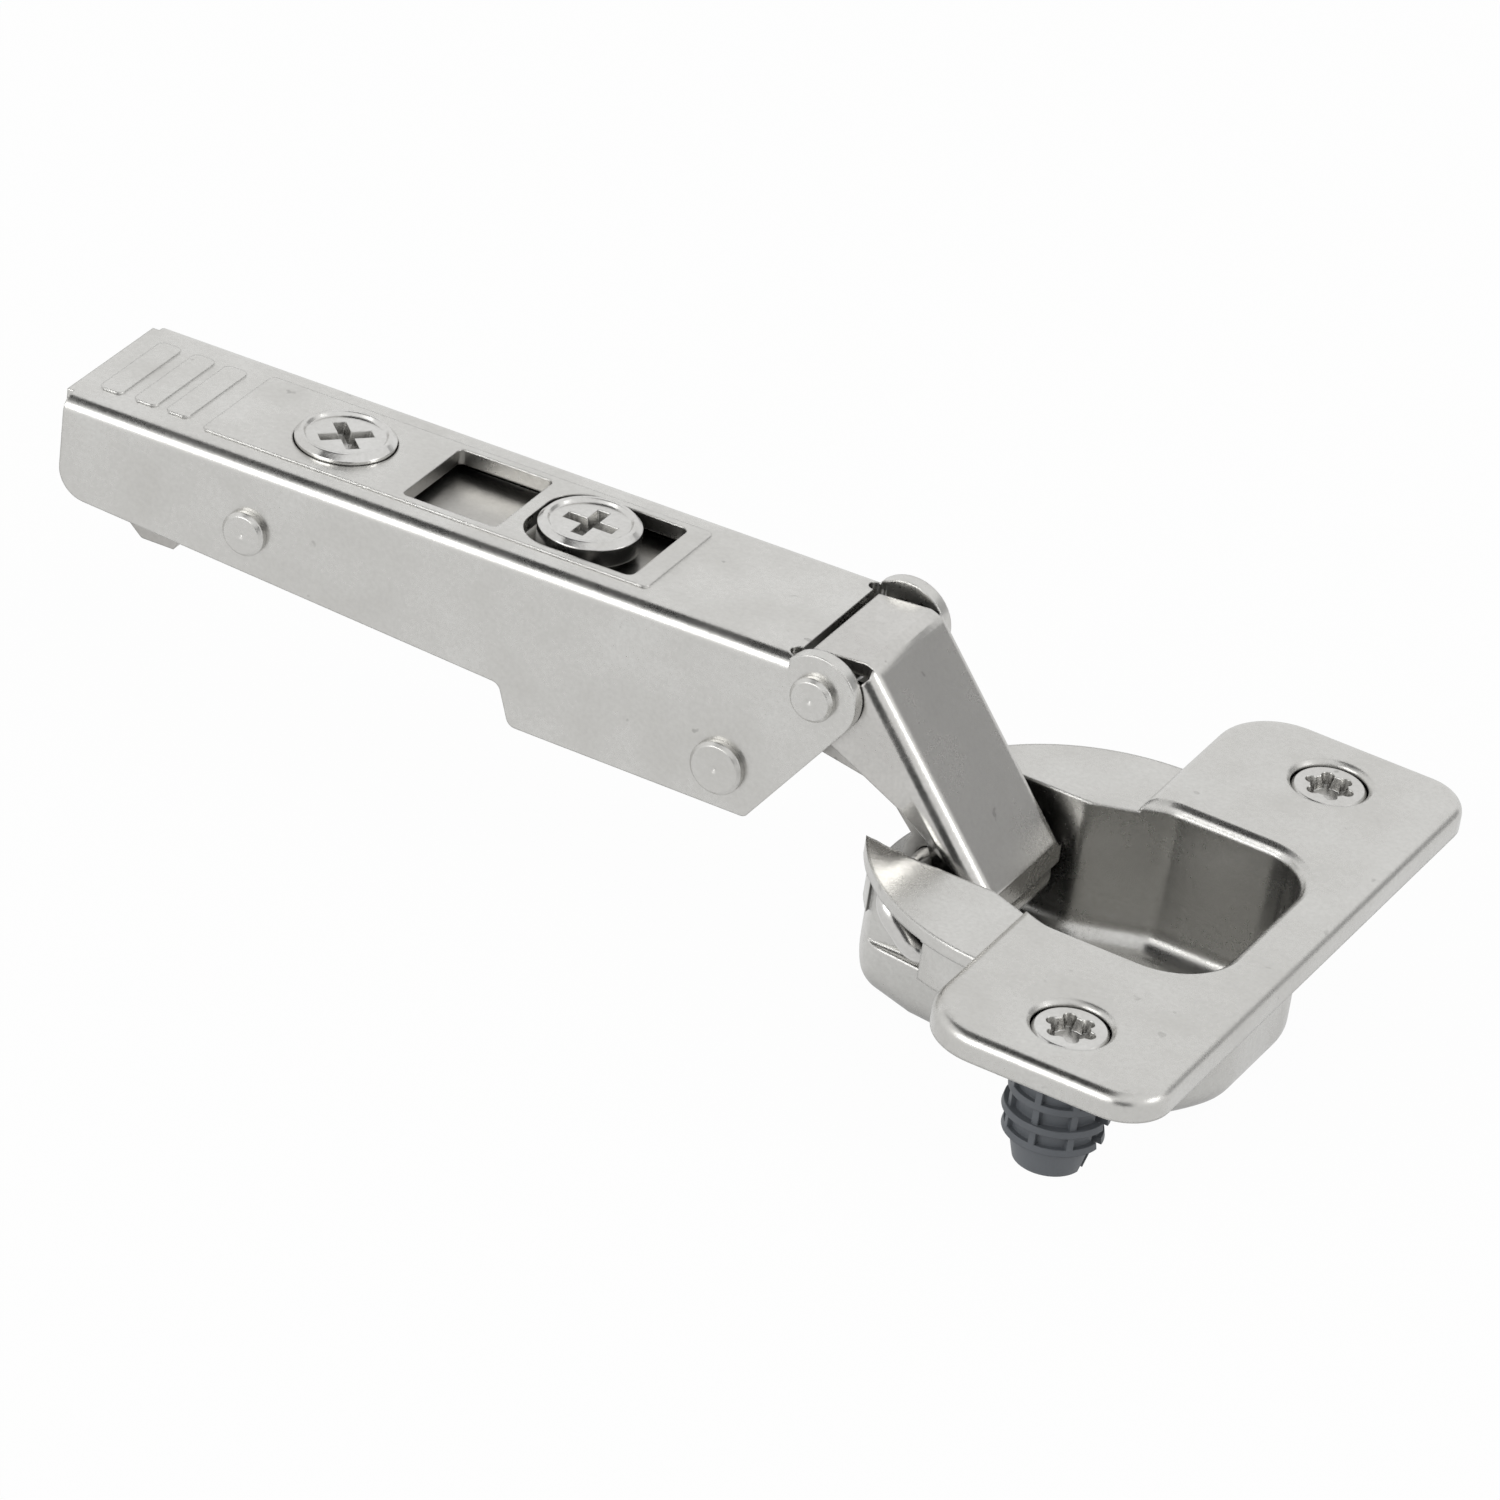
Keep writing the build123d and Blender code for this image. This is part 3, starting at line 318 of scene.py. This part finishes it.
def corner_waste(corner, along_a, along_b, run, radius):
    """A bar of waste that turns the sharp edge starting at corner into a round one.

    along_a and along_b point from the edge into the two faces that meet there.
    """
    a, b = along_a.normalized(), along_b.normalized()
    half = a.angle(b) / 2
    reach = radius / math.tan(half)
    middle = corner + (a + b).normalized() * (radius / math.sin(half))
    first, last = corner + a * reach, corner + b * reach
    swing = (first - middle).angle(last - middle)
    aside = (last - middle) - (last - middle).project(first - middle)
    ring = []
    for k in range(ARC_STEPS + 1):
        turned = swing * k / ARC_STEPS
        spoke = (first - middle) * math.cos(turned)
        spoke += aside.normalized() * radius * math.sin(turned)
        ring.append(middle + spoke)
    spare = WASTE_SPARE * MM
    out = -(a + b).normalized() * spare
    ring += [last + out - a * spare, corner + 3 * out, first + out - b * spare]
    mesh = bmesh.new()
    near = [mesh.verts.new(p) for p in ring]
    far = [mesh.verts.new(p + run) for p in ring]
    mesh.faces.new(near)
    mesh.faces.new(list(reversed(far)))
    for k in range(len(ring)):
        j = (k + 1) % len(ring)
        mesh.faces.new((near[k], far[k], far[j], near[j]))
    bmesh.ops.recalc_face_normals(mesh, faces=mesh.faces)
    data = bpy.data.meshes.new("waste")
    mesh.to_mesh(data)
    mesh.free()
    waste = bpy.data.objects.new("waste", data)
    scene.collection.objects.link(waste)
    return waste


def eased_sheet(node, name, wastes, body):
    """The CAD node's own sheet with its folds rounded as the press leaves them."""
    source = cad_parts[node]
    piece = bpy.data.objects.new(name, source.data.copy())
    scene.collection.objects.link(piece)
    piece.matrix_world = source.matrix_world
    mesh = bmesh.new()
    mesh.from_mesh(piece.data)
    bmesh.ops.remove_doubles(mesh, verts=mesh.verts, dist=WELD)
    mesh.to_mesh(piece.data)
    mesh.free()
    for waste in wastes:
        cut = piece.modifiers.new("cut", "BOOLEAN")
        cut.operation = "DIFFERENCE"
        cut.solver = "MANIFOLD"
        cut.object = waste
    bpy.context.view_layer.update()
    worked = piece.evaluated_get(bpy.context.evaluated_depsgraph_get())
    result = bpy.data.meshes.new_from_object(worked)
    piece.modifiers.clear()
    piece.data = result
    for waste in wastes:
        bpy.data.objects.remove(waste)
    result.polygons.foreach_set("use_smooth", [True] * len(result.polygons))
    result.set_sharp_from_angle(angle=SMOOTH_UNDER)
    normals = piece.modifiers.new("flat faces keep their normals", "WEIGHTED_NORMAL")
    normals.keep_sharp = True
    normals.weight = FLAT_WEIGHT
    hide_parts(node)
    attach(piece, body)
    return piece


bend_mid = arm_point(LINK_BEND[0], 0, LINK_BEND[1])
fold_dir = arm_point(LINK_LOW[0], 0, LINK_LOW[1]) - bend_mid
fold_in = Vector((fold_dir.z, 0, -fold_dir.x)).normalized()
stub_dir = arm_point(LINK_STUB[0], 0, LINK_STUB[1]) - bend_mid
link_wastes = []
for side in (-1, 1):
    top = arm_point(LINK_BEND[0], side * LINK_HALF_W, LINK_BEND[1]) - fold_dir * FOLD_START
    inward = Vector((0, -side, 0))
    link_wastes.append(
        corner_waste(top, inward, fold_in, fold_dir * FOLD_LENGTH, LINK_FOLD_R * MM)
    )
bend_half = LINK_HALF_W + BEND_SPARE
bend_at = arm_point(LINK_BEND[0], -bend_half, LINK_BEND[1])
bend_run = Vector((0, 2 * bend_half * MM, 0))
link_wastes.append(corner_waste(bend_at, stub_dir, fold_dir, bend_run, LINK_BEND_R * MM))
link_piece = eased_sheet("outer_link", "link_sheet", link_wastes, "outer_link_body")
for slot in link_piece.material_slots:
    slot.material = materials["link"]


def seen_rays(n):
    """The light path node, and 1 on every ray that shows the background itself."""
    path = n.add("ShaderNodeLightPath")
    seen = n.math("MAXIMUM", path.outputs["Is Camera Ray"], path.outputs["Is Glossy Ray"])
    return path, n.math("MAXIMUM", seen, path.outputs["Is Transmission Ray"])


def flat_rectangle(name, half_w, half_h, z=0.0):
    """A new object of one face, level at z."""
    mesh = bpy.data.meshes.new(name)
    w, h = half_w, half_h
    corners = [(-w, -h, z), (w, -h, z), (w, h, z), (-w, h, z)]
    mesh.from_pydata(corners, [], [(0, 1, 2, 3)])
    obj = bpy.data.objects.new(name, mesh)
    scene.collection.objects.link(obj)
    return obj


# Floor, pale and plain
FLOOR_HALF = 3.0
FLOOR_GAP = 0.0005
FLOOR_GLOW = 0.97            # share of plain white where the floor is seen
FLOOR_SHADE_IN_METAL = 0.22  # less of it where the metal mirrors the floor
floor_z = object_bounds()[0][2] - FLOOR_GAP
floor = flat_rectangle("floor", FLOOR_HALF, FLOOR_HALF, floor_z)
floor_look, n = new_material("floor_white")
path, seen = seen_rays(n)
paint = n.add("ShaderNodeBsdfDiffuse", Color=(0.9, 0.9, 0.9, 1))
glow = n.add("ShaderNodeEmission", Color=(1, 1, 1, 1), Strength=1.0)
blend = n.add("ShaderNodeMixShader")
plain = n.math("MULTIPLY", seen, FLOOR_GLOW)
glossy = path.outputs["Is Glossy Ray"]
n.put(blend, "Fac", n.math("MULTIPLY_ADD", glossy, -FLOOR_SHADE_IN_METAL, plain))
n.put_index(blend, 1, paint.outputs[0])
n.put_index(blend, 2, glow.outputs[0])
out = n.add("ShaderNodeOutputMaterial")
n.put(out, "Surface", blend.outputs[0])
floor.data.materials.append(floor_look)

# World: even studio light, white where it is seen
WORLD_LIGHT = 0.65
WORLD_SEEN_MORE = 0.35
world = bpy.data.worlds.new("studio")
scene.world = world
world.use_nodes = True
n = Nodes(world.node_tree)
seen = seen_rays(n)[1]
background = n.add("ShaderNodeBackground", Color=(1, 1, 1, 1))
n.put(background, "Strength", n.math("MULTIPLY_ADD", seen, WORLD_SEEN_MORE, WORLD_LIGHT))
out = n.add("ShaderNodeOutputWorld")
n.put(out, "Surface", background.outputs[0])


def aim(obj, at, towards):
    """Put an object somewhere and turn its -Z towards a point."""
    obj.location = at
    obj.rotation_euler = (Vector(towards) - Vector(at)).to_track_quat("-Z", "Y").to_euler()


def card(name, at, towards, size, grey):
    """A flat matt card out of the picture, which the metal mirrors."""
    obj = flat_rectangle(name, size[0] / 2, size[1] / 2)
    aim(obj, at, towards)
    look, k = new_material(name)
    shader = k.add("ShaderNodeBsdfDiffuse", Color=(grey, grey, grey, 1))
    end = k.add("ShaderNodeOutputMaterial")
    k.put(end, "Surface", shader.outputs[0])
    obj.data.materials.append(look)


def area_light(name, at, towards, size, power):
    """A rectangular studio lamp, its power in watts."""
    data = bpy.data.lights.new(name, "AREA")
    data.shape = "RECTANGLE"
    data.size, data.size_y = size
    data.energy = power
    obj = bpy.data.objects.new(name, data)
    scene.collection.objects.link(obj)
    aim(obj, at, towards)


# Cards and lamps round the hinge: the dark cards make the dark bands along the folds, the grey
# one the tone of the link's broad face, and the lamps the bright lines.
MIDDLE = (-0.03, 0.0, 0.0)
card("overhead_card", (-0.36, -0.08, 0.9), MIDDLE, (1.0, 0.62), 0.02)
card("right_card", (0.46, -0.88, 0.16), MIDDLE, (0.66, 0.72), 0.03)
card("back_card", (0.56, 0.80, 0.26), MIDDLE, (0.55, 0.42), 0.62)
area_light("right_light", (0.84, 0.12, 0.46), MIDDLE, (0.30, 0.24), 0.9)
area_light("key", (-0.46, -0.95, 0.46), MIDDLE, (0.8, 0.42), 4.0)
